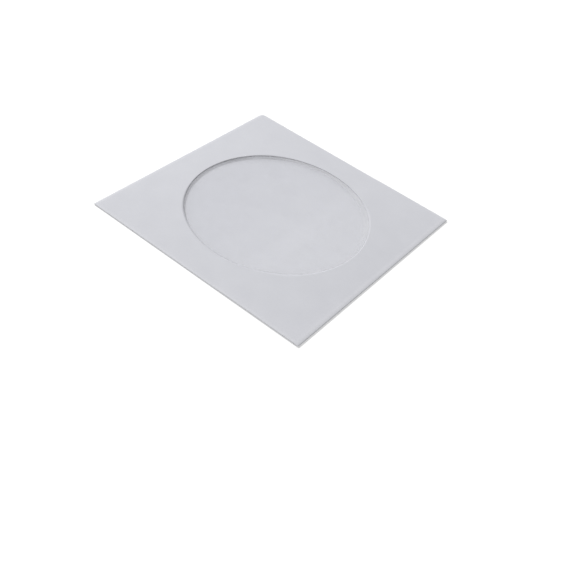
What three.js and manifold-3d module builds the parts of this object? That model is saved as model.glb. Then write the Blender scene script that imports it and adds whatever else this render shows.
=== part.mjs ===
// A windowed paper sleeve for one 120 mm disc, empty, lying window side up as it comes to rest.
// One die-cut sheet makes the envelope: the front panel with its round window, a flap along each
// side, the back panel folded over those flaps and glued to them, and the closure flap, tucked
// behind the back panel. A clear film is glued inside the front panel, behind the window.
// Lengths are in millimetres: X runs from the closed bottom fold to the mouth, Y across, Z up.
import * as THREE from "three";
import { mergeVertices } from "three/addons/utils/BufferGeometryUtils.js";
import Module from "manifold-3d";

// The folded sleeve and its sheet.
const sleeveLength = 125;
const sleeveWidth = 125;
const paperThickness = 0.12;
const foldSpring = 0.6; // gap that the stiff paper leaves between the sheets that a side fold joins
const creaseRadius = 0.05; // inside radius of a pressed crease
const panelBulge = 1.5; // rise of the front panel's middle above its folded edges
const glueSink = 0.03; // depth by which two glued sheets are pressed into each other

// The window and its film.
const windowDiameter = 92;
const filmGlueWidth = 6;
const filmThickness = 0.04;
const filmGlueThickness = 0.1;

// The side flaps, inside the back panel.
const sideFlapWidth = 12;
const sideFlapNotch = 0.5; // how far each end is cut back at the crease
const sideFlapEndCut = 4; // and at the free edge

// The back panel, folded up from the bottom.
const backPanelInset = 1.5; // from the sleeve's side to the panel's side
const backPanelSetback = 4; // from the mouth to the panel's free edge

// The closure flap, folded behind the back panel at the mouth.
const closureFlapLength = 38;
const closureFlapInset = 2; // from the sleeve's side to the flap's side at the fold
const closureFlapSplay = 3; // how much further in the flap's side lies at its free edge
const closureFlapCornerRadius = 10;
const closureFlapClearance = 0.05; // between the flap and the back panel that lies on it
const liftLength = 12; // stretch over which the back panel climbs onto the flap

// Fineness of the curved forms.
const crossSteps = 16;
const longSteps = 10;
const liftSteps = 4;
const flapSteps = 5;
const quarterFoldSteps = 4;
const cornerSteps = 5;
const rimSteps = 96;

const paper = new THREE.MeshStandardMaterial({
  color: 0xd9dadf,
  roughness: 0.9,
  metalness: 0,
});
const film = new THREE.MeshStandardMaterial({
  color: 0xe6e9ee,
  roughness: 0.18,
  metalness: 0,
  transparent: true,
  opacity: 0.35,
});

// Half the height of each fold at the sheet's middle, from the layers that it wraps.
const halfThickness = paperThickness / 2;
const flapLift = paperThickness + closureFlapClearance;
const gluedStep = paperThickness - glueSink;
const sideFoldRise = (paperThickness + foldSpring) / 2;
const bottomFoldRise = sideFoldRise + gluedStep / 2;
const mouthFoldRise = bottomFoldRise + flapLift / 2;

// A fold is half an ellipse on its end: the deeper it reaches for its height, the sharper its nose,
// and this depth gives the nose the radius of a pressed crease.
const foldReach = (rise) => rise ** 2 / (creaseRadius + halfThickness);

// Lines where the flat panels end and the folds begin.
const bottomFoldX = -sleeveLength / 2 + halfThickness + foldReach(bottomFoldRise);
const mouthFoldX = sleeveLength / 2 - halfThickness - foldReach(mouthFoldRise);
const sideWallY = sleeveWidth / 2;
const sideFoldY = sideWallY - halfThickness - foldReach(sideFoldRise);
const middleX = (bottomFoldX + mouthFoldX) / 2;
const frontHalfLength = (mouthFoldX - bottomFoldX) / 2;
const closureFlapEdgeX = sleeveLength / 2 - closureFlapLength;
const backPanelEdgeX = sleeveLength / 2 - backPanelSetback;
const backPanelHalfWidth = sideWallY - backPanelInset;

const { lerp, smoothstep } = THREE.MathUtils;

// Heights of the sheet's middle in each layer, from the table up.
const backHeight = (x) =>
  halfThickness +
  flapLift * smoothstep(x, closureFlapEdgeX - liftLength, closureFlapEdgeX);
const sideFlapHeight = (x) => backHeight(x) + gluedStep;
const frontEdgeHeight = (x) => sideFlapHeight(x) + 2 * sideFoldRise;

// The front panel is a shallow dome: flat along its folds, highest at its middle.
function frontHeight(x, y) {
  const along = (x - middleX) / frontHalfLength;
  const across = y / sideFoldY;
  const dome = (1 - along ** 2) * (1 - across ** 2);
  return frontEdgeHeight(x) + panelBulge * dome;
}

// Evenly spaced values from start to end, both included.
function spaced(start, end, steps) {
  return Array.from({ length: steps + 1 }, (_, i) =>
    lerp(start, end, i / steps),
  );
}

// Stations along the length that every layer shares, close together where the back panel climbs.
const lengthStations = [
  ...spaced(bottomFoldX, closureFlapEdgeX - liftLength, longSteps),
  ...spaced(closureFlapEdgeX - liftLength, closureFlapEdgeX, liftSteps).slice(1),
  ...spaced(closureFlapEdgeX, mouthFoldX, flapSteps).slice(1),
];

// Bends a flat slab into a sheet: place(row, across, side) gives the point for a row of the slab,
// a share across it from -1 to 1, and its outer side, 1, or its inner side, -1.
function bentSheet(rows, columns, place) {
  const slab = new THREE.BoxGeometry(2, 2, 2, rows, columns, 1);
  slab.deleteAttribute("normal");
  slab.deleteAttribute("uv");
  const points = slab.getAttribute("position");
  for (let i = 0; i < points.count; i++) {
    const row = Math.round(((points.getX(i) + 1) / 2) * rows);
    const point = place(row, points.getY(i), points.getZ(i));
    points.setXYZ(i, point.x, point.y, point.z);
  }
  return slab;
}

// A lengthwise station of the sheet: where its middle lies, which way its outer side faces, and
// how wide it was cut there.
function station(x, height, outwardX, outwardZ, halfWidth) {
  return { x, height, outwardX, outwardZ, halfWidth };
}

// Half the closure flap's width, narrowing to its free edge and rounded at the corners.
function closureFlapHalfWidth(x) {
  const fromEdge = x - closureFlapEdgeX;
  const share = fromEdge / (mouthFoldX - closureFlapEdgeX);
  const side = sideWallY - closureFlapInset - closureFlapSplay * (1 - share);
  const intoCorner = Math.max(closureFlapCornerRadius - fromEdge, 0);
  const rise = Math.sqrt(closureFlapCornerRadius ** 2 - intoCorner ** 2);
  return side - (closureFlapCornerRadius - rise);
}

// The closure flap lies on the table, its outer side down.
function closureFlapStations() {
  const cornerEndX = closureFlapEdgeX + closureFlapCornerRadius;
  const corner = spaced(0, Math.PI / 2, cornerSteps).map(
    (turn) => closureFlapEdgeX + closureFlapCornerRadius * (1 - Math.cos(turn)),
  );
  const straight = spaced(cornerEndX, mouthFoldX, flapSteps).slice(1);
  return [...corner, ...straight].map((x) =>
    station(x, () => halfThickness, 0, -1, closureFlapHalfWidth(x)),
  );
}

// The sheet's middle round a fold seen on its end, from its top, where share is 0, to its foot,
// where share is 1: how far out and up it lies, and which way its outer side faces.
function foldRound(rise) {
  const reach = foldReach(rise);
  return spaced(0, 1, 2 * quarterFoldSteps).map((share) => {
    const across = Math.sin(share * Math.PI);
    const upward = Math.cos(share * Math.PI);
    const length = Math.hypot(rise * across, reach * upward);
    return {
      share,
      out: reach * across,
      up: rise * (1 + upward),
      outward: (rise * across) / length,
      upward: (reach * upward) / length,
    };
  });
}

// The fold at one end of the front panel, where the sheet narrows from the crease to the foot.
function foldStations(foldX, rise, direction, footHeight, footHalfWidth) {
  return foldRound(rise)
    .slice(1, -1)
    .map(({ share, out, up, outward, upward }) =>
      station(
        foldX + direction * out,
        () => footHeight + up,
        direction * outward,
        upward,
        lerp(sideFoldY, footHalfWidth, Math.max(2 * share - 1, 0)),
      ),
    );
}

// The long strip of the sheet, from the closure flap's free edge round the mouth fold, over the
// front panel, round the bottom fold and along the back panel to its free edge.
function longStrip() {
  const front = [...lengthStations]
    .reverse()
    .map((x) => station(x, (y) => frontHeight(x, y), 0, 1, sideFoldY));
  const back = [
    ...lengthStations.filter((x) => x < backPanelEdgeX),
    backPanelEdgeX,
  ].map((x) => station(x, () => backHeight(x), 0, -1, backPanelHalfWidth));
  const stations = [
    ...closureFlapStations(),
    ...foldStations(
      mouthFoldX,
      mouthFoldRise,
      1,
      halfThickness,
      closureFlapHalfWidth(mouthFoldX),
    ).reverse(),
    ...front,
    ...foldStations(
      bottomFoldX,
      bottomFoldRise,
      -1,
      backHeight(bottomFoldX),
      backPanelHalfWidth,
    ),
    ...back,
  ];
  return bentSheet(stations.length - 1, crossSteps, (row, across, side) => {
    const { x, height, outwardX, outwardZ, halfWidth } = stations[row];
    // Seen from outside, the strip runs towards the bottom fold, so across is turned round.
    const y = -across * halfWidth;
    return new THREE.Vector3(
      x + side * halfThickness * outwardX,
      y,
      height(y) + side * halfThickness * outwardZ,
    );
  });
}

// Places along the upper side of the sheet, from the bottom crease to the mouth crease: on the front
// panel they don't turn down, and past a fold line they turn down by up to a quarter turn.
const quarterTurns = spaced(0, Math.PI / 2, quarterFoldSteps).slice(1);
const upperPlaces = [
  ...quarterTurns
    .map((turn) => ({ foldX: bottomFoldX, rise: bottomFoldRise, direction: -1, turn }))
    .reverse(),
  ...lengthStations.map((x) => ({ foldX: x, rise: sideFoldRise, direction: 0, turn: 0 })),
  ...quarterTurns.map((turn) => ({ foldX: mouthFoldX, rise: mouthFoldRise, direction: 1, turn })),
];

// The shoulder along one side, from the front panel's side down to the side crease. At each corner
// it also turns down to the end crease, so that the two creases meet in a square corner. A point's
// height there is the product of both turns' cosines, times a rise that goes from one fold's to
// the other's, and its outer side faces along the cross product of that surface's two tangents.
function shoulder(sideDirection) {
  const columns = upperPlaces.length - 1;
  const sideReach = foldReach(sideFoldRise);
  return bentSheet(quarterFoldSteps, columns, (row, across, side) => {
    const column = Math.round(((1 - sideDirection * across) / 2) * columns);
    const { foldX, rise, direction, turn } = upperPlaces[column];
    const sideTurn = ((Math.PI / 2) * row) / quarterFoldSteps;
    const endReach = foldReach(rise);
    const [endSine, endCosine] = [Math.sin(turn), Math.cos(turn)];
    const [sideSine, sideCosine] = [Math.sin(sideTurn), Math.cos(sideTurn)];
    const turned = Math.max(2 - endCosine - sideCosine, Number.EPSILON);
    const cornerRise = lerp(sideFoldRise, rise, (1 - endCosine) / turned);
    const outward = new THREE.Vector3(
      direction * cornerRise * sideReach * endSine * sideCosine ** 2,
      sideDirection * cornerRise * endReach * sideSine * endCosine ** 2,
      endReach * sideReach * endCosine * sideCosine,
    );
    const atCorner = row === quarterFoldSteps && turn === Math.PI / 2;
    if (atCorner) outward.set(direction, sideDirection, 0);
    return new THREE.Vector3(
      foldX + direction * endReach * endSine,
      sideDirection * (sideFoldY + sideReach * sideSine),
      frontEdgeHeight(foldX) - cornerRise * (1 - endCosine * sideCosine),
    ).addScaledVector(outward.normalize(), side * halfThickness);
  });
}

// What is tucked in below one side crease: the lower half of the side fold, then the flap that lies
// inside the sleeve. Both ends are cut back a little at the fold and further at the free edge.
function sideTuck(sideDirection) {
  const fold = foldRound(sideFoldRise)
    .slice(quarterFoldSteps)
    .map((row) => ({ ...row, cutBack: sideFlapNotch * (2 * row.share - 1) }));
  const freeEdge = {
    out: sideWallY - sideFlapWidth - sideFoldY,
    up: 0,
    outward: 0,
    upward: -1,
    cutBack: sideFlapEndCut,
  };
  const rows = [...fold, freeEdge];
  const columns = lengthStations.length - 1;
  return bentSheet(rows.length - 1, columns, (row, across, side) => {
    const { out, up, outward, upward, cutBack } = rows[row];
    const column = Math.round(((1 - sideDirection * across) / 2) * columns);
    const kept = 1 - cutBack / frontHalfLength;
    const x = middleX + (lengthStations[column] - middleX) * kept;
    return new THREE.Vector3(
      x,
      sideDirection * (sideFoldY + out + side * halfThickness * outward),
      sideFlapHeight(x) + up + side * halfThickness * upward,
    );
  });
}

// The film follows the front panel's inside, a glue line below it.
function filmSheet() {
  const halfSide = windowDiameter / 2 + filmGlueWidth;
  const belowFront = halfThickness + filmGlueThickness + filmThickness / 2;
  return bentSheet(crossSteps, crossSteps, (row, across, side) => {
    const x = lerp(-halfSide, halfSide, row / crossSteps);
    const y = across * halfSide;
    const middle = frontHeight(x, y) - belowFront;
    return new THREE.Vector3(x, y, middle + (side * filmThickness) / 2);
  });
}

// The punch that cuts the window: it reaches from above the glued layers through the front panel.
function windowPunch() {
  const bottom = sideFlapHeight(mouthFoldX) + halfThickness;
  const top = frontHeight(middleX, 0) + sleeveLength / 2;
  const punch = new THREE.CylinderGeometry(
    windowDiameter / 2,
    windowDiameter / 2,
    top - bottom,
    rimSteps,
  );
  punch.rotateX(Math.PI / 2);
  punch.translate(0, 0, (top + bottom) / 2);
  return punch;
}

const wasm = await Module();
wasm.setup();

// A closed three.js geometry as a solid that can be joined and cut.
function solidOf(geometry) {
  geometry.deleteAttribute("normal");
  geometry.deleteAttribute("uv");
  const merged = mergeVertices(geometry, 1e-5);
  return new wasm.Manifold(
    new wasm.Mesh({
      numProp: 3,
      vertProperties: merged.getAttribute("position").array,
      triVerts: new Uint32Array(merged.index.array),
    }),
  );
}

// A solid as a three.js geometry again.
function geometryOf(solid) {
  const { vertProperties, triVerts } = solid.getMesh();
  const geometry = new THREE.BufferGeometry();
  geometry.setAttribute(
    "position",
    new THREE.BufferAttribute(vertProperties, 3),
  );
  geometry.setIndex(new THREE.BufferAttribute(triVerts, 1));
  geometry.computeVertexNormals();
  return geometry;
}

function namedMesh(name, geometry, material) {
  const mesh = new THREE.Mesh(geometry, material);
  mesh.name = name;
  return mesh;
}

const foldedSheet = [shoulder(1), shoulder(-1), sideTuck(1), sideTuck(-1)]
  .reduce((joined, piece) => joined.add(solidOf(piece)), solidOf(longStrip()))
  .subtract(solidOf(windowPunch()));

const sleeve = new THREE.Group();
sleeve.add(namedMesh("paper_sleeve", geometryOf(foldedSheet), paper));
sleeve.add(namedMesh("window_film", geometryOf(solidOf(filmSheet())), film));

export default sleeve;
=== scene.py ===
"""A paper sleeve for one disc, with a round window of clear film, in a plain pale studio.

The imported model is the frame: the folded sheet and the film are rebuilt here as finer surfaces in
the same places. Sizes are in millimetres until a mesh is written, and meshes are in metres. X runs
from the closed bottom fold to the mouth, Y across the sleeve and Z up.
"""
import logging
import math
from dataclasses import dataclass, field
from enum import Enum

import bmesh
import bpy
import numpy as np
from mathutils import Matrix, Vector


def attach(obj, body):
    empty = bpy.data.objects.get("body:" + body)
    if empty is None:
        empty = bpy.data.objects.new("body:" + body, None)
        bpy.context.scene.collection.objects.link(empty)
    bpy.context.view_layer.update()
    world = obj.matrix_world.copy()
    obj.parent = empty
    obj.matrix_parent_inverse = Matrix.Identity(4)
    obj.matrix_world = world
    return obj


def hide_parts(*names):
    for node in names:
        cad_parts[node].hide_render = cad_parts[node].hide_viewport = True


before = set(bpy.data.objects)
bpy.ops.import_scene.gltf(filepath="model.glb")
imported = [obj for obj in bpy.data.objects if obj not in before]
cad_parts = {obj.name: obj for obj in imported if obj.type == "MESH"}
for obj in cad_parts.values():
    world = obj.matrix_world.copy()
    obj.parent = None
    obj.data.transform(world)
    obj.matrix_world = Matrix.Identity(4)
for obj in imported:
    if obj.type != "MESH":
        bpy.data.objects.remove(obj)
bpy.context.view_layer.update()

MM = 0.001
MERGE_DISTANCE = 0.0005
SMALLEST = 1e-12
QUARTER_TURN = math.pi / 2
# The Mix node's sockets for colours: the factor, the two colours, and the result.
MIX_COLOUR_INPUTS = (0, 6, 7)
MIX_COLOUR_OUTPUT = 2
# Where nearly all of a noise pattern's values lie.
NOISE_RANGE = (0.3, 0.7)
UNIT_RANGE = (0.0, 1.0)

log = logging.getLogger("sleeve")


class Side(Enum):
    """A long side of the sleeve, as the sign of its Y."""

    NEAR = -1
    FAR = 1


class End(Enum):
    """An end of the front panel, as the sign of its X."""

    BOTTOM = -1
    MOUTH = 1


def smoothstep(value: np.ndarray, start: float, end: float) -> np.ndarray:
    """0 up to start, 1 from end on, and 3s^2 - 2s^3 between them, with s the share of the way."""
    share = np.clip((value - start) / (end - start), 0.0, 1.0)
    return share * share * (3.0 - 2.0 * share)


@dataclass(frozen=True)
class SheetSizes:
    """Driving sizes of the sleeve and its sheet, in millimetres."""

    length: float = 125.0
    width: float = 125.0
    thickness: float = 0.12
    fold_spring: float = 0.6
    crease_radius: float = 0.05
    bulge: float = 1.5
    glue_sink: float = 0.03
    window_diameter: float = 92.0
    side_flap_width: float = 12.0
    side_flap_notch: float = 0.5
    side_flap_end_cut: float = 4.0
    back_inset: float = 1.5
    back_setback: float = 4.0
    flap_length: float = 38.0
    flap_inset: float = 2.0
    flap_splay: float = 3.0
    flap_corner_radius: float = 10.0
    flap_clearance: float = 0.05
    lift_length: float = 12.0

    @property
    def half_sheet(self) -> float:
        """Half the sheet's thickness."""
        return self.thickness / 2

    @property
    def flap_lift(self) -> float:
        """How far the closure flap lifts the back panel."""
        return self.thickness + self.flap_clearance

    @property
    def glued_step(self) -> float:
        """Distance between the middles of two glued sheets."""
        return self.thickness - self.glue_sink

    @property
    def side_rise(self) -> float:
        """Half the height of a side fold, at the sheet's middle."""
        return (self.thickness + self.fold_spring) / 2

    def end_rise(self, end: End) -> float:
        """Half the height of the fold at an end, at the sheet's middle."""
        bottom = self.side_rise + self.glued_step / 2
        return bottom if end is End.BOTTOM else bottom + self.flap_lift / 2

    def reach(self, rise: float) -> float:
        """How far a fold reaches out: its height squared over the radius of its nose."""
        return rise**2 / (self.crease_radius + self.half_sheet)

    def end_x(self, end: End) -> float:
        """X of the line where the front panel ends and the fold at that end begins."""
        inset = self.half_sheet + self.reach(self.end_rise(end))
        return end.value * (self.length / 2 - inset)

    @property
    def side_y(self) -> float:
        """Y of the line where the front panel ends and the far side fold begins."""
        return self.width / 2 - self.half_sheet - self.reach(self.side_rise)

    @property
    def middle_x(self) -> float:
        """X of the front panel's middle."""
        return (self.end_x(End.BOTTOM) + self.end_x(End.MOUTH)) / 2

    @property
    def half_length(self) -> float:
        """Half the front panel's length."""
        return (self.end_x(End.MOUTH) - self.end_x(End.BOTTOM)) / 2

    @property
    def flap_edge_x(self) -> float:
        """X of the closure flap's free edge."""
        return self.length / 2 - self.flap_length

    @property
    def back_edge_x(self) -> float:
        """X of the back panel's free edge."""
        return self.length / 2 - self.back_setback

    @property
    def back_half_width(self) -> float:
        """Half the back panel's width."""
        return self.width / 2 - self.back_inset

    def back_height(self, x: np.ndarray) -> np.ndarray:
        """Height of the back panel: on the table, then smoothly up onto the closure flap."""
        climb = smoothstep(x, self.flap_edge_x - self.lift_length, self.flap_edge_x)
        return self.half_sheet + self.flap_lift * climb

    def side_flap_height(self, x: np.ndarray) -> np.ndarray:
        """Height of the side flaps, glued on the back panel."""
        return self.back_height(x) + self.glued_step

    def front_edge_height(self, x: np.ndarray) -> np.ndarray:
        """Height of the front panel along its sides."""
        return self.side_flap_height(x) + 2 * self.side_rise

    def front_height(self, x: np.ndarray, y: np.ndarray) -> np.ndarray:
        """Height of the front panel: its edge height plus a dome.

        The dome is the bulge times one minus the square of the share along, times one minus the
        square of the share across.

        Args:
            x: Places along the sleeve.
            y: Places across it.

        Returns:
            The height at each place.
        """
        along = (x - self.middle_x) / self.half_length
        across = y / self.side_y
        dome = np.clip(1 - along**2, 0.0, 1.0) * np.clip(1 - across**2, 0.0, 1.0)
        return self.front_edge_height(x) + self.bulge * dome

    def flap_half_width(self, x: np.ndarray) -> np.ndarray:
        """Half the closure flap's width: it narrows to its free edge, with round corners.

        In a corner it is less by the radius minus the root of the radius squared minus the square
        of the way into the corner.

        Args:
            x: Places along the sleeve.

        Returns:
            Half the width at each place.
        """
        from_edge = x - self.flap_edge_x
        share = from_edge / (self.end_x(End.MOUTH) - self.flap_edge_x)
        side = self.width / 2 - self.flap_inset - self.flap_splay * (1 - share)
        radius = self.flap_corner_radius
        into_corner = np.clip(radius - from_edge, 0.0, radius)
        return side - (radius - np.sqrt(radius**2 - into_corner**2))


@dataclass(frozen=True)
class Cockle:
    """Slight waves that handling leaves in the front panel, as a sum of crossing sine waves."""

    heights: tuple[float, ...] = (0.030, 0.024, 0.018, 0.012)
    lengths: tuple[float, ...] = (71.0, 46.0, 29.0, 17.0)
    turns: tuple[float, ...] = (0.35, 1.92, 2.61, 1.12)
    phases: tuple[float, ...] = (0.4, 2.1, 4.0, 5.2)

    def height(self, x: np.ndarray, y: np.ndarray) -> np.ndarray:
        """Sum over the waves of height times the sine of distance along its turn over its length.

        Args:
            x: Places along the sleeve.
            y: Places across it.

        Returns:
            The waves' height at each place.
        """
        total = np.zeros_like(x)
        for height, length, turn, phase in zip(self.heights, self.lengths, self.turns, self.phases):
            along = x * math.cos(turn) + y * math.sin(turn)
            total += height * np.sin(2 * math.pi * along / length + phase)
        return total


@dataclass
class Patch:
    """A grid of points on a sheet's middle, and how near each lies to a crease, from 0 to 1."""

    points: np.ndarray
    crease: np.ndarray
    ring: bool = False

    def faces(self, start: int) -> np.ndarray:
        """Quads between neighbouring rows and columns.

        Args:
            start: Number of the patch's first point.

        Returns:
            Four point numbers for each quad.
        """
        rows, columns = self.points.shape[:2]
        numbers = start + np.arange(rows * columns).reshape(rows, columns)
        if self.ring:
            numbers = np.concatenate([numbers, numbers[:, :1]], axis=1)
        corners = (numbers[:-1, :-1], numbers[:-1, 1:], numbers[1:, 1:], numbers[1:, :-1])
        return np.stack(corners, axis=-1).reshape(-1, 4)


@dataclass
class Middle:
    """A sheet's middle as one mesh of quads.

    crease says how near each point lies to a crease, and rim holds the two points of each open
    edge.
    """

    points: np.ndarray
    normals: np.ndarray
    faces: np.ndarray
    crease: np.ndarray
    rim: np.ndarray


class SheetMesh:
    """A sheet of even thickness, made from patches of its middle that share their borders."""

    def __init__(self, name: str, patches: list[Patch], thickness: float) -> None:
        """Joins the patches and gives them their thickness.

        Args:
            name: Name of the object and its mesh.
            patches: The middle of the sheet, in millimetres.
            thickness: The sheet's thickness, in millimetres.
        """
        points, faces, crease = self._joined(patches)
        middle = self._merged(points, faces, crease)
        self.object = self._thick(name, middle, thickness)

    @staticmethod
    def _joined(patches: list[Patch]) -> tuple[np.ndarray, np.ndarray, np.ndarray]:
        """Puts the patches one after the other.

        Args:
            patches: The middle of the sheet, in millimetres.

        Returns:
            All points, the quads between them, and how near each point lies to a crease.
        """
        points = np.concatenate([patch.points.reshape(-1, 3) for patch in patches])
        crease = np.concatenate([patch.crease.reshape(-1) for patch in patches])
        counts = [patch.crease.size for patch in patches]
        starts = np.concatenate([[0], np.cumsum(counts)[:-1]])
        faces = np.concatenate([patch.faces(start) for patch, start in zip(patches, starts)])
        return points, faces, crease

    @staticmethod
    def _merged(points: np.ndarray, faces: np.ndarray, crease: np.ndarray) -> Middle:
        """Merges the borders that patches share and turns all faces the same way.

        Args:
            points: All points, in millimetres.
            faces: Four point numbers for each quad.
            crease: How near each point lies to a crease, from 0 to 1.

        Returns:
            The middle as one mesh.
        """
        work = bpy.data.meshes.new("work")
        work.from_pydata(points.tolist(), [], faces.tolist())
        layer = work.attributes.new("crease", "FLOAT", "POINT")
        layer.data.foreach_set("value", crease.astype(np.float32))
        built = bmesh.new()
        built.from_mesh(work)
        bmesh.ops.remove_doubles(built, verts=built.verts, dist=MERGE_DISTANCE)
        bmesh.ops.recalc_face_normals(built, faces=built.faces)
        built.verts.index_update()
        built.normal_update()
        open_edges = [
            [loop.vert.index, loop.link_loop_next.vert.index]
            for edge in built.edges
            if edge.is_boundary
            for loop in edge.link_loops
        ]
        built.to_mesh(work)
        built.free()
        count = len(work.vertices)
        merged = np.empty(count * 3, np.float32)
        work.vertices.foreach_get("co", merged)
        normals = np.empty(count * 3, np.float32)
        work.vertices.foreach_get("normal", normals)
        corners = np.empty(len(work.loops), np.int32)
        work.loops.foreach_get("vertex_index", corners)
        kept = np.empty(count, np.float32)
        work.attributes["crease"].data.foreach_get("value", kept)
        bpy.data.meshes.remove(work)
        return Middle(
            points=merged.reshape(-1, 3),
            normals=normals.reshape(-1, 3),
            faces=corners.reshape(-1, 4),
            crease=kept,
            rim=np.array(open_edges, np.int32),
        )

    @staticmethod
    def _thick(name: str, middle: Middle, thickness: float) -> bpy.types.Object:
        """Offsets the middle along its normals both ways and closes the cut edges between them.

        Args:
            name: Name of the object and its mesh.
            middle: The sheet's middle, in millimetres.
            thickness: The sheet's thickness, in millimetres.

        Returns:
            The object.
        """
        count = len(middle.points)
        offset = middle.normals * (thickness / 2)
        both = np.concatenate([middle.points + offset, middle.points - offset]) * MM
        inner = middle.faces[:, ::-1] + count
        first, second = middle.rim[:, 0], middle.rim[:, 1]
        edge = np.stack([second, first, first + count, second + count], axis=1)
        every = np.concatenate([middle.faces, inner, edge])
        mesh = bpy.data.meshes.new(name)
        mesh.from_pydata(both.tolist(), [], every.tolist())
        smooth = np.ones(len(every), bool)
        smooth[len(middle.faces) * 2 :] = False
        mesh.polygons.foreach_set("use_smooth", smooth)
        layer = mesh.attributes.new("crease", "FLOAT", "POINT")
        layer.data.foreach_set("value", np.tile(middle.crease, 2).astype(np.float32))
        cut = mesh.attributes.new("cut", "FLOAT", "FACE")
        cut.data.foreach_set("value", np.where(smooth, 0.0, 1.0).astype(np.float32))
        mesh.update()
        made = bpy.data.objects.new(name, mesh)
        bpy.context.scene.collection.objects.link(made)
        return made


@dataclass(frozen=True)
class Fineness:
    """How many steps the surfaces are made of."""

    along: int = 120
    across: int = 120
    quarter: int = 7
    ring: int = 30
    flap: int = 36
    film: int = 120


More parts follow.
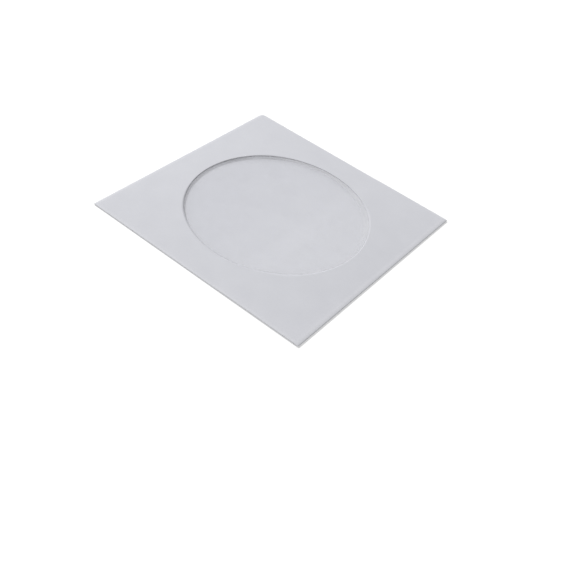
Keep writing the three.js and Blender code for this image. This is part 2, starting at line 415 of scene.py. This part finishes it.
@dataclass
class Sheet:
    """The sheet of the sleeve: front panel, folds, side flaps, back panel and closure flap.

    Creases are paler, partly as wear and partly as a painted highlight where folds catch the light;
    this lies within crease_spread of a fold's nose, which a panel's border is taken to be
    nose_distance away from. flap_row_power draws the closure flap's rows to its free edge.
    """

    sizes: SheetSizes = field(default_factory=SheetSizes)
    fineness: Fineness = field(default_factory=Fineness)
    cockle: Cockle = field(default_factory=Cockle)
    crease_spread: float = 1.1
    nose_distance: float = 1.0
    flap_row_power: float = 1.6
    far_corner_radius: float = 2.8
    other_corner_radius: float = 0.45
    name: str = "folded_sheet"

    def _stations(self) -> np.ndarray:
        """X of the places along the front panel that all its neighbours share."""
        bottom, mouth = self.sizes.end_x(End.BOTTOM), self.sizes.end_x(End.MOUTH)
        return np.linspace(bottom, mouth, self.fineness.along + 1)

    def _shares(self) -> np.ndarray:
        """Places across the sheet, from -1 to 1."""
        return np.linspace(-1.0, 1.0, self.fineness.across + 1)

    def _near_crease(self, distance: np.ndarray) -> np.ndarray:
        """1 on a crease, falling with the distance from it as a bell curve."""
        return np.exp(-((distance / self.crease_spread) ** 2))

    def cockled_front(self, x: np.ndarray, y: np.ndarray) -> np.ndarray:
        """The front panel's height with its waves, which fade out towards the folds.

        They fade as the root of one minus the square of the share along, times one minus the
        square of the share across.

        Args:
            x: Places along the sleeve.
            y: Places across it.

        Returns:
            The height at each place.
        """
        sizes = self.sizes
        along = np.clip(1 - ((x - sizes.middle_x) / sizes.half_length) ** 2, 0.0, 1.0)
        across = np.clip(1 - (y / sizes.side_y) ** 2, 0.0, 1.0)
        fade = np.sqrt(along * across)
        return sizes.front_height(x, y) + fade * self.cockle.height(x, y)

    def front_panel(self) -> Patch:
        """The front panel as rings between the round window and its four straight borders.

        A point's place is the window's point plus an even share of the way to the border's point
        on the same ray from the centre.

        Returns:
            The front panel.
        """
        sizes = self.sizes
        x_line, y_line = self._stations(), self._shares() * sizes.side_y
        near = np.stack([x_line, np.full_like(x_line, -sizes.side_y)], axis=1)[:-1]
        mouth = np.stack([np.full_like(y_line, x_line[-1]), y_line], axis=1)[:-1]
        far = np.stack([x_line[::-1], np.full_like(x_line, sizes.side_y)], axis=1)[:-1]
        bottom = np.stack([np.full_like(y_line, x_line[0]), y_line[::-1]], axis=1)[:-1]
        border = np.concatenate([near, mouth, far, bottom])
        turn = np.arctan2(border[:, 1], border[:, 0])
        radius = sizes.window_diameter / 2
        window = radius * np.stack([np.cos(turn), np.sin(turn)], axis=1)
        share = np.linspace(0.0, 1.0, self.fineness.ring + 1)[:, None, None]
        plan = window[None] * (1 - share) + border[None] * share
        x, y = plan[..., 0], plan[..., 1]
        z = self.cockled_front(x, y)
        z[-1] = sizes.front_edge_height(x[-1])
        to_end = np.minimum(np.abs(x - x_line[0]), np.abs(x_line[-1] - x))
        to_side = sizes.side_y - np.abs(y)
        crease = self._near_crease(np.minimum(to_end, to_side) + self.nose_distance)
        return Patch(np.stack([x, y, z], axis=-1), crease, ring=True)

    def end_fold(self, end: End) -> Patch:
        """The fold at an end, half an ellipse seen on its edge, narrowing on its lower half.

        Args:
            end: The end that it is at.

        Returns:
            The fold, from the front panel down to the panel or flap behind it.
        """
        sizes = self.sizes
        rise, fold_x = sizes.end_rise(end), sizes.end_x(end)
        share = np.linspace(0.0, 1.0, 2 * self.fineness.quarter + 1)[:, None]
        if end is End.BOTTOM:
            foot, foot_half_width = sizes.back_height(fold_x), sizes.back_half_width
        else:
            foot, foot_half_width = sizes.half_sheet, sizes.flap_half_width(fold_x)
        narrow = np.clip(2 * share - 1, 0.0, 1.0)
        half_width = sizes.side_y * (1 - narrow) + foot_half_width * narrow
        y = self._shares()[None, :] * half_width
        x = fold_x + end.value * sizes.reach(rise) * np.sin(share * math.pi) + 0 * y
        z = foot + rise * (1 + np.cos(share * math.pi)) + 0 * y
        crease = self._near_crease(self.nose_distance * np.abs(2 * share - 1)) + 0 * y
        return Patch(np.stack([x, y, z], axis=-1), crease)

    def shoulder(self, side: Side) -> Patch:
        """The upper half of a side fold, with the square corners at both its ends.

        A point's drop is the rise times one minus the product of both turns' cosines, and the
        rise goes from the side fold's to the end fold's as the turn at the end takes over.

        Args:
            side: The side that it is on.

        Returns:
            The shoulder, from the front panel down to the nose of the fold.
        """
        sizes = self.sizes
        stations = self._stations()
        turns = np.linspace(0.0, QUARTER_TURN, self.fineness.quarter + 1)
        extra = turns[1:]
        bottom_rise, mouth_rise = sizes.end_rise(End.BOTTOM), sizes.end_rise(End.MOUTH)
        fold_x = np.concatenate([0 * extra + stations[0], stations, 0 * extra + stations[-1]])
        end_turn = np.concatenate([extra[::-1], 0 * stations, extra])
        rise = np.concatenate([0 * extra + bottom_rise, 0 * stations, 0 * extra + mouth_rise])
        outward = np.concatenate([0 * extra - 1.0, 0 * stations, 0 * extra + 1.0])
        end_cosine, side_cosine = np.cos(end_turn)[None, :], np.cos(turns)[:, None]
        turned = np.maximum(2 - end_cosine - side_cosine, SMALLEST)
        weight = (1 - end_cosine) / turned
        corner_rise = sizes.side_rise * (1 - weight) + rise[None, :] * weight
        side_out = sizes.reach(sizes.side_rise) * np.sin(turns)[:, None]
        along = outward * sizes.reach(1.0) * rise**2 * np.sin(end_turn)
        x = (fold_x + along)[None, :] + 0 * side_out
        y = side.value * (sizes.side_y + side_out) + 0 * x
        drop = corner_rise * (1 - end_cosine * side_cosine)
        z = sizes.front_edge_height(fold_x)[None, :] - drop
        to_nose = self.nose_distance * (1.0 - np.sin(turns))[:, None]
        to_end_nose = self.nose_distance * (1.0 - np.sin(end_turn))[None, :]
        near_side = self._near_crease(to_nose) + 0 * x
        near_end = self._near_crease(to_end_nose) + 0 * x
        return Patch(np.stack([x, y, z], axis=-1), np.maximum(near_side, near_end))

    def side_tuck(self, side: Side) -> Patch:
        """The lower half of a side fold and the flap inside the sleeve, cut back at both ends.

        Args:
            side: The side that it is on.

        Returns:
            The flap, from the nose of the fold to its free edge.
        """
        sizes = self.sizes
        rise = sizes.side_rise
        share = np.linspace(0.5, 1.0, self.fineness.quarter + 1)
        foot_out = sizes.width / 2 - sizes.side_flap_width - sizes.side_y
        inwards = np.linspace(0.0, 1.0, self.fineness.quarter + 1)[1:]
        out = np.concatenate([sizes.reach(rise) * np.sin(share * math.pi), foot_out * inwards])
        up = np.concatenate([rise * (1 + np.cos(share * math.pi)), 0 * inwards])
        at_fold = sizes.side_flap_notch * (2 * share - 1)
        beyond = sizes.side_flap_notch * (1 - inwards) + sizes.side_flap_end_cut * inwards
        cut_back = np.concatenate([at_fold, beyond])[:, None]
        kept = 1 - cut_back / sizes.half_length
        x = sizes.middle_x + (self._stations()[None, :] - sizes.middle_x) * kept
        y = side.value * (sizes.side_y + out[:, None]) + 0 * x
        z = sizes.side_flap_height(x) + up[:, None]
        crease = self._near_crease(sizes.reach(rise) - out[:, None]) + 0 * x
        return Patch(np.stack([x, y, z], axis=-1), crease)

    def back_panel(self) -> Patch:
        """The back panel, from the bottom fold up onto the closure flap.

        Returns:
            The back panel.
        """
        sizes = self.sizes
        start = sizes.end_x(End.BOTTOM)
        x = np.linspace(start, sizes.back_edge_x, self.fineness.along + 1)[:, None]
        y = self._shares()[None, :] * sizes.back_half_width + 0 * x
        x = x + 0 * y
        crease = self._near_crease(x - start + self.nose_distance)
        return Patch(np.stack([x, y, sizes.back_height(x)], axis=-1), crease)

    def closure_flap(self) -> Patch:
        """The closure flap, flat on the table; its rows lie closer towards the free edge.

        Returns:
            The closure flap.
        """
        sizes = self.sizes
        share = np.linspace(0.0, 1.0, self.fineness.flap + 1)[:, None] ** self.flap_row_power
        start, mouth = sizes.flap_edge_x, sizes.end_x(End.MOUTH)
        x = start + (mouth - start) * share
        y = self._shares()[None, :] * sizes.flap_half_width(x)
        x = x + 0 * y
        crease = self._near_crease(mouth - x + self.nose_distance)
        return Patch(np.stack([x, y, 0 * x + sizes.half_sheet], axis=-1), crease)

    def _worn_corners(self, patch: Patch) -> Patch:
        """Rounds the corners in plan, as wear does.

        Inside the corner's square of the radius, a place (u, v) goes to u times the root of one
        minus half v squared, and the same for v, which takes the square's outer corner to the arc.

        Args:
            patch: A patch of the sheet.

        Returns:
            The patch with its corners rounded.
        """
        points = patch.points.copy()
        half_x, half_y = self.sizes.length / 2, self.sizes.width / 2
        for end in End:
            for side in Side:
                far = end is End.BOTTOM and side is Side.FAR
                radius = self.far_corner_radius if far else self.other_corner_radius
                centre_x, centre_y = end.value * (half_x - radius), side.value * (half_y - radius)
                u = np.clip((points[..., 0] - centre_x) * end.value / radius, 0.0, 1.0)
                v = np.clip((points[..., 1] - centre_y) * side.value / radius, 0.0, 1.0)
                inside = (u > 0) & (v > 0)
                new_x = centre_x + end.value * radius * u * np.sqrt(1 - v**2 / 2)
                new_y = centre_y + side.value * radius * v * np.sqrt(1 - u**2 / 2)
                points[..., 0] = np.where(inside, new_x, points[..., 0])
                points[..., 1] = np.where(inside, new_y, points[..., 1])
        return Patch(points, patch.crease, patch.ring)

    def build(self) -> bpy.types.Object:
        """Makes the whole sheet as one piece.

        Returns:
            The sheet's object.
        """
        patches = [self.front_panel(), self.back_panel(), self.closure_flap()]
        patches += [self.end_fold(end) for end in End]
        patches += [self.shoulder(side) for side in Side]
        patches += [self.side_tuck(side) for side in Side]
        worn = [self._worn_corners(patch) for patch in patches]
        return SheetMesh(self.name, worn, self.sizes.thickness).object


@dataclass
class Film:
    """The clear film glued inside the front panel, behind the window."""

    sheet: Sheet
    glue_width: float = 6.0
    thickness: float = 0.04
    glue_thickness: float = 0.1
    slack_depth: float = 0.035
    slack_lengths: tuple[float, float, float] = (6.1, 11.0, 9.3)
    slack_bend: float = 0.5
    slack_skew: float = 1.7
    slack_phase: float = 1.0
    name: str = "film_pane"

    def _slack(self, x: np.ndarray, y: np.ndarray) -> np.ndarray:
        """Shallow slack in the film, none at the window's rim: it only hangs down.

        Its depth is the slack depth times one minus the square of the share of the radius, times
        two plus the sum of two crossing sines, of which one is bent and the other skewed.

        Args:
            x: Places along the sleeve.
            y: Places across it.

        Returns:
            The height that the slack adds at each place, 0 or less.
        """
        radius = self.sheet.sizes.window_diameter / 2
        inside = np.clip(1 - (x**2 + y**2) / radius**2, 0.0, 1.0)
        first, bend, second = self.slack_lengths
        bent = x / first + self.slack_bend * np.sin(y / bend)
        skewed = (x + self.slack_skew * y) / second + self.slack_phase
        waves = np.sin(bent) + np.sin(skewed)
        return -self.slack_depth * inside * (2 + waves)

    def build(self) -> bpy.types.Object:
        """Makes the film.

        Returns:
            The film's object.
        """
        sizes = self.sheet.sizes
        half_side = sizes.window_diameter / 2 + self.glue_width
        line = np.linspace(-half_side, half_side, self.sheet.fineness.film + 1)
        x, y = np.meshgrid(line, line, indexing="ij")
        below = sizes.half_sheet + self.glue_thickness + self.thickness / 2
        z = self.sheet.cockled_front(x, y) - below + self._slack(x, y)
        radius = sizes.window_diameter / 2
        glued = np.clip(np.hypot(x, y) - radius, 0.0, 1.0)
        patch = Patch(np.stack([x, y, z], axis=-1), glued)
        return SheetMesh(self.name, [patch], self.thickness).object


class Graph:
    """Builds a node tree, one node and its links at a time."""

    def __init__(self, tree: bpy.types.NodeTree) -> None:
        """Empties the tree."""
        self.tree = tree
        tree.nodes.clear()

    def node(
        self, kind: str, inputs: dict[str | int, object] | None = None, **settings: object
    ) -> bpy.types.Node:
        """Adds a node.

        Args:
            kind: The node's type.
            inputs: For each input, a value or the output socket that feeds it.
            **settings: Properties of the node itself.

        Returns:
            The node.
        """
        made = self.tree.nodes.new(kind)
        for name, value in settings.items():
            setattr(made, name, value)
        for key, value in (inputs or {}).items():
            if isinstance(value, bpy.types.NodeSocket):
                self.tree.links.new(value, made.inputs[key])
            else:
                made.inputs[key].default_value = value
        return made

    def noise(self, vector: bpy.types.NodeSocket, scale: float, detail: float) -> bpy.types.NodeSocket:
        """Adds a noise pattern and returns its value."""
        inputs = {"Vector": vector, "Scale": scale, "Detail": detail}
        return self.node("ShaderNodeTexNoise", inputs).outputs["Fac"]

    def mapped(
        self, value: bpy.types.NodeSocket, source: tuple[float, float], target: tuple[float, float]
    ) -> bpy.types.NodeSocket:
        """Maps a value from one range to another, on a straight line, and holds it at the ends.

        Args:
            value: The value.
            source: The range that it comes from.
            target: The range that it goes to.

        Returns:
            The mapped value.
        """
        limits = {"From Min": source[0], "From Max": source[1]}
        limits |= {"To Min": target[0], "To Max": target[1]}
        return self.node("ShaderNodeMapRange", {"Value": value, **limits}).outputs["Result"]

    def ranged(self, value: bpy.types.NodeSocket, low: float, high: float) -> bpy.types.NodeSocket:
        """Spreads a noise value between two limits."""
        return self.mapped(value, NOISE_RANGE, (low, high))

    def stretched(
        self, value: bpy.types.NodeSocket, start: float, end: float
    ) -> bpy.types.NodeSocket:
        """0 up to start, 1 from end on, and a straight line between them."""
        return self.mapped(value, (start, end), UNIT_RANGE)

    def vector(
        self, operation: str, first: bpy.types.NodeSocket, second: object = (0.0, 0.0, 0.0)
    ) -> bpy.types.NodeSocket:
        """Adds a length, dot product or other operation on vectors that gives one value."""
        node = self.node("ShaderNodeVectorMath", {0: first, 1: second}, operation=operation)
        return node.outputs["Value"]

    def mixed(self, factor: object, first: object, second: object) -> bpy.types.NodeSocket:
        """Mixes two colours."""
        inputs = dict(zip(MIX_COLOUR_INPUTS, (factor, first, second)))
        return self.node("ShaderNodeMix", inputs, data_type="RGBA").outputs[MIX_COLOUR_OUTPUT]

    def maths(self, operation: str, first: object, second: object) -> bpy.types.NodeSocket:
        """Adds a sum, product or other operation on two values."""
        node = self.node("ShaderNodeMath", {0: first, 1: second}, operation=operation)
        return node.outputs["Value"]

    def seen(self) -> bpy.types.NodeSocket:
        """1 for what the camera sees, straight on, in a reflection or through glass.

        Returns:
            1 for those rays and 0 for all others.
        """
        rays = self.node("ShaderNodeLightPath").outputs
        indirect = self.maths("MAXIMUM", rays["Is Glossy Ray"], rays["Is Transmission Ray"])
        return self.maths("MAXIMUM", rays["Is Camera Ray"], indirect)


def material_graph(name: str) -> tuple[bpy.types.Material, Graph]:
    """Makes a material.

    Args:
        name: Its name.

    Returns:
        The material and its empty graph.
    """
    material = bpy.data.materials.new(name)
    material.use_nodes = True
    return material, Graph(material.node_tree)


@dataclass(frozen=True)
class PaperFinish:
    """Uncoated white paper: cloudy, slightly fibrous, paler on creases as wear and painted highlight.
    """

    light: tuple[float, float, float, float] = (0.642, 0.648, 0.686, 1.0)
    dark: tuple[float, float, float, float] = (0.620, 0.626, 0.664, 1.0)
    fibre: tuple[float, float, float, float] = (0.590, 0.594, 0.632, 1.0)
    # Paler colour of creases and cut edges: partly wear, partly a painted highlight where they catch
    # the light
    worn: tuple[float, float, float, float] = (0.740, 0.746, 0.776, 1.0)
    cloud_scale: float = 85.0
    cloud_detail: float = 4.0
    fibre_scale: float = 2300.0
    fibre_detail: float = 5.0
    fibre_stretch: tuple[float, float, float] = (0.45, 1.0, 1.0)
    fleck: float = 0.16
    # How much paler creases and cut edges get: partly wear, partly painted highlight
    rub_and_highlight: tuple[float, float] = (0.15, 0.6)
    cut_wear_and_highlight: float = 0.5
    roughness: tuple[float, float] = (0.94, 0.84)
    specular: float = 0.25
    grain_strength: float = 0.35
    grain_depth: float = 0.000012

    def make(self) -> bpy.types.Material:
        """Makes the paper's material.

        Returns:
            The material.
        """
        material, graph = material_graph("sleeve_paper")
        place = graph.node("ShaderNodeTexCoord").outputs["Object"]
        stretch = graph.node("ShaderNodeMapping", {"Vector": place, "Scale": self.fibre_stretch})
        cloud = graph.noise(place, self.cloud_scale, self.cloud_detail)
        fibre = graph.noise(stretch.outputs["Vector"], self.fibre_scale, self.fibre_detail)
        base = graph.mixed(graph.ranged(cloud, 0.0, 1.0), self.dark, self.light)
        flecked = graph.mixed(graph.ranged(fibre, self.fleck, 0.0), base, self.fibre)
        crease = graph.node("ShaderNodeAttribute", attribute_name="crease").outputs["Fac"]
        cut = graph.node("ShaderNodeAttribute", attribute_name="cut").outputs["Fac"]
        # Creases and cut edges turn paler: partly wear, partly a painted highlight
        rub_and_highlight = graph.maths("MULTIPLY", crease, graph.ranged(fibre, *self.rub_and_highlight))
        wear = graph.maths("MAXIMUM", rub_and_highlight, graph.maths("MULTIPLY", cut, self.cut_wear_and_highlight))
        colour = graph.mixed(wear, flecked, self.worn)
        bump = graph.node(
            "ShaderNodeBump",
            {"Height": fibre, "Strength": self.grain_strength, "Distance": self.grain_depth},
        )
        shader = graph.node(
            "ShaderNodeBsdfPrincipled",
            {
                "Base Color": colour,
                "Roughness": graph.ranged(fibre, *self.roughness),
                "Specular IOR Level": self.specular,
                "Normal": bump.outputs["Normal"],
            },
        )
        graph.node("ShaderNodeOutputMaterial", {"Surface": shader.outputs["BSDF"]})
        return material


@dataclass(frozen=True)
class FilmFinish:
    """Clear film with a soft gloss and a faint uneven haze.

    The haze's colour runs from darker at the bottom end to paler at the mouth end: painted shade and
    painted light that stand for the rim's soft shade on the window's bottom side, with faint random
    haze tone on top. Just inside the window's rim on the far side, towards the mouth, the film is
    hazier and so paler: painted light that fills the shade seen under the rim there. Places and
    lengths are in metres.
    """

    clear: tuple[float, float, float, float] = (0.810, 0.815, 0.860, 1.0)
    hazy: tuple[float, float, float, float] = (0.960, 0.965, 0.995, 1.0)
    # Painted shade: along this direction, over this reach either side of the centre, the film goes
    # from darker to paler
    painted_shade_drift: tuple[float, float, float] = (0.95, -0.12, 0.0)
    painted_shade_reach: float = 0.05
    cloud: float = 0.1
    # Painted light: a band just inside the window's rim, on the far side towards the mouth, where the
    # film is hazier and paler
    rim_painted_light: float = 0.22
    rim_painted_light_direction: tuple[float, float, float] = (0.25, 0.97, 0.0)
    rim_painted_light_along: tuple[float, float] = (0.005, 0.045)
    rim_painted_light_radii: tuple[float, float] = (0.0420, 0.0458)
    haze: tuple[float, float] = (0.21, 0.24)
    glued_haze: float = 0.45
    roughness: tuple[float, float] = (0.14, 0.26)
    haze_scale: float = 60.0
    haze_detail: float = 3.0
    ripple_scale: float = 160.0
    ripple_detail: float = 2.0
    ripple_strength: float = 0.3
    ripple_depth: float = 0.0002
    ior: float = 1.5

    def make(self) -> bpy.types.Material:
        """Makes the film's material.

        Returns:
            The material.
        """
        material, graph = material_graph("sleeve_film")
        place = graph.node("ShaderNodeTexCoord").outputs["Object"]
        haze = graph.noise(place, self.haze_scale, self.haze_detail)
        ripple = graph.noise(place, self.ripple_scale, self.ripple_detail)
        # Painted shade and light: 0 towards the bottom end and 1 towards the mouth end, with random
        # haze tone added
        painted_shade_drift = graph.stretched(
            graph.vector("DOT_PRODUCT", place, self.painted_shade_drift), -self.painted_shade_reach, self.painted_shade_reach
        )
        haze_and_painted_shade = graph.maths("ADD", painted_shade_drift, graph.ranged(haze, -self.cloud, self.cloud))
        colour = graph.mixed(haze_and_painted_shade, self.clear, self.hazy)
        # Painted light: extra haze in a band inside the rim on the far side, which pales the shade
        # seen under the rim
        rim = graph.stretched(graph.vector("LENGTH", place), *self.rim_painted_light_radii)
        along = graph.vector("DOT_PRODUCT", place, self.rim_painted_light_direction)
        rim_painted_light_mask = graph.maths("MULTIPLY", rim, graph.stretched(along, *self.rim_painted_light_along))
        rim_painted_light_cover = graph.maths("MULTIPLY", rim_painted_light_mask, self.rim_painted_light)
        glued = graph.node("ShaderNodeAttribute", attribute_name="crease").outputs["Fac"]
        # The film's cover: random haze plus the painted light along the rim, or the glued band's haze
        cover = graph.maths(
            "MAXIMUM",
            graph.maths("ADD", graph.ranged(haze, *self.haze), rim_painted_light_cover),
            graph.maths("MULTIPLY", glued, self.glued_haze),
        )
        bump = graph.node(
            "ShaderNodeBump",
            {"Height": ripple, "Strength": self.ripple_strength, "Distance": self.ripple_depth},
        )
        shader = graph.node(
            "ShaderNodeBsdfPrincipled",
            {
                "Base Color": colour,
                "Roughness": graph.ranged(ripple, *self.roughness),
                "IOR": self.ior,
                "Alpha": cover,
                "Normal": bump.outputs["Normal"],
            },
        )
        graph.node("ShaderNodeOutputMaterial", {"Surface": shader.outputs["BSDF"]})
        return material


@dataclass(frozen=True)
class Light:
    """The soft key lamp and the even light of a white room round it."""

    key_share: float = 0.53
    key_azimuth: float = math.radians(-90.0)
    key_elevation: float = math.radians(48.0)
    key_distance: float = 2.2
    key_size: float = 0.24
    key_colour: tuple[float, float, float] = (1.0, 1.0, 1.0)
    room_colour: tuple[float, float, float, float] = (1.0, 1.0, 1.0, 1.0)

    def _key(self) -> None:
        """Adds the key, a round lamp that gives a level sheet the key share of its light.

        A lamp of power P gives P over pi times the square of its distance, times the sine of its
        elevation, and a white sheet needs pi.
        """
        lamp = bpy.data.lights.new("key", "AREA")
        lamp.shape = "DISK"
        lamp.size = self.key_size
        power = self.key_share * (math.pi * self.key_distance) ** 2
        lamp.energy = power / math.sin(self.key_elevation)
        lamp.color = self.key_colour
        key = bpy.data.objects.new("key", lamp)
        flat = math.cos(self.key_elevation)
        source = Vector(
            (
                math.sin(self.key_azimuth) * flat,
                math.cos(self.key_azimuth) * flat,
                math.sin(self.key_elevation),
            )
        )
        key.location = source * self.key_distance
        key.rotation_euler = source.to_track_quat("Z", "Y").to_euler()
        key.visible_camera = False
        bpy.context.scene.collection.objects.link(key)

    def _room(self) -> None:
        """Sets the world: even light on the object, and plain white for what the camera sees."""
        world = bpy.data.worlds.new("room")
        bpy.context.scene.world = world
        world.use_nodes = True
        graph = Graph(world.node_tree)
        strength = graph.mapped(graph.seen(), UNIT_RANGE, (1 - self.key_share, 1.0))
        inputs = {"Color": self.room_colour, "Strength": strength}
        shader = graph.node("ShaderNodeBackground", inputs)
        graph.node("ShaderNodeOutputWorld", {"Surface": shader.outputs["Background"]})

    def build(self) -> None:
        """Adds the lamp and the world."""
        self._key()
        self._room()


@dataclass(frozen=True)
class Floor:
    """A plain white floor that shows the sleeve's shadow and is clear from below.

    Where the camera sees it, straight on, in a reflection or through glass, it glows a little, and
    more with the distance from the sleeve, so that it ends as white as the room. Light that a sheet
    scatters passes through it, so that the room also lights the sleeve from below.
    """

    half_side: float = 4.0
    height: float = -0.00004
    colour: tuple[float, float, float, float] = (0.8, 0.8, 0.8, 1.0)
    lift: tuple[float, float] = (0.28, 0.8)
    lift_distance: tuple[float, float] = (0.1, 0.45)

    def build(self) -> bpy.types.Object:
        """Makes the floor.

        Returns:
            The floor's object.
        """
        side = self.half_side
        corners = [(-side, -side), (side, -side), (side, side), (-side, side)]
        mesh = bpy.data.meshes.new("floor")
        mesh.from_pydata([(x, y, self.height) for x, y in corners], [], [(0, 1, 2, 3)])
        floor = bpy.data.objects.new("floor", mesh)
        bpy.context.scene.collection.objects.link(floor)
        material, graph = material_graph("floor_white")
        diffuse = graph.node("ShaderNodeBsdfDiffuse", {"Color": self.colour})
        scattered = graph.node("ShaderNodeLightPath").outputs["Is Diffuse Ray"]
        place = graph.node("ShaderNodeTexCoord").outputs["Object"]
        lift = graph.mapped(graph.vector("LENGTH", place), self.lift_distance, self.lift)
        strength = graph.maths("MULTIPLY", graph.seen(), lift)
        glow = graph.node("ShaderNodeEmission", {"Strength": strength})
        both = graph.node(
            "ShaderNodeAddShader", {0: diffuse.outputs["BSDF"], 1: glow.outputs["Emission"]}
        )
        backfacing = graph.node("ShaderNodeNewGeometry").outputs["Backfacing"]
        behind = graph.maths("MAXIMUM", backfacing, scattered)
        clear = graph.node("ShaderNodeBsdfTransparent")
        shown = graph.node(
            "ShaderNodeMixShader",
            {0: behind, 1: both.outputs["Shader"], 2: clear.outputs["BSDF"]},
        )
        graph.node("ShaderNodeOutputMaterial", {"Surface": shown.outputs["Shader"]})
        mesh.materials.append(material)
        return floor


@dataclass(frozen=True)
class PhotoCamera:
    """The camera's place and lens, measured from the sleeve's corners, edges and window."""

    azimuth: float = math.radians(-30.731)
    elevation: float = math.radians(43.232)
    roll: float = math.radians(-11.666)
    focal_pixels: float = 816.38
    picture_width: float = 576.0
    sensor_width: float = 36.0
    centre_pixel: tuple[float, float] = (277.17, 213.29)
    depth: float = 403.52
    clip: tuple[float, float] = (0.01, 20.0)

    def build(self) -> bpy.types.Object:
        """Makes the camera, which sees the sleeve's centre at the given pixel and depth.

        Returns:
            The camera's object.
        """
        azimuth, elevation = self.azimuth, self.elevation
        forward = np.array(
            [
                math.sin(azimuth) * math.cos(elevation),
                math.cos(azimuth) * math.cos(elevation),
                -math.sin(elevation),
            ]
        )
        level = np.array([math.cos(azimuth), -math.sin(azimuth), 0.0])
        down = np.cross(forward, level)
        cosine, sine = math.cos(self.roll), math.sin(self.roll)
        right = cosine * level + sine * down
        below = -sine * level + cosine * down
        half = self.picture_width / 2
        offset = [(pixel - half) / self.focal_pixels * self.depth for pixel in self.centre_pixel]
        place = -(offset[0] * right + offset[1] * below + self.depth * forward) * MM
        data = bpy.data.cameras.new("camera")
        data.sensor_width = self.sensor_width
        data.lens = self.focal_pixels * self.sensor_width / self.picture_width
        data.clip_start, data.clip_end = self.clip
        camera = bpy.data.objects.new("camera", data)
        axes = np.stack([right, -below, -forward], axis=1)
        camera.matrix_world = Matrix.Translation(Vector(place)) @ Matrix(axes.tolist()).to_4x4()
        bpy.context.scene.collection.objects.link(camera)
        bpy.context.scene.camera = camera
        return camera


def finish_piece(
    piece: bpy.types.Object, material: bpy.types.Material, node: str
) -> None:
    """Gives a piece its material and its place in the frame.

    Args:
        piece: The finished piece.
        material: Its material.
        node: The node of the frame that it stands for.
    """
    piece.data.materials.append(material)
    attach(piece, "root")
    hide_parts(node)
    log.info("%s stands for %s, with %d faces", piece.name, node, len(piece.data.polygons))


def main() -> None:
    """Builds the sleeve, the room and the camera."""
    logging.basicConfig(level=logging.INFO)
    bpy.context.scene.view_settings.view_transform = "Standard"
    sheet = Sheet()
    finish_piece(sheet.build(), PaperFinish().make(), "paper_sleeve")
    finish_piece(Film(sheet).build(), FilmFinish().make(), "window_film")
    Floor().build()
    Light().build()
    PhotoCamera().build()


if __name__ == "__main__":
    main()
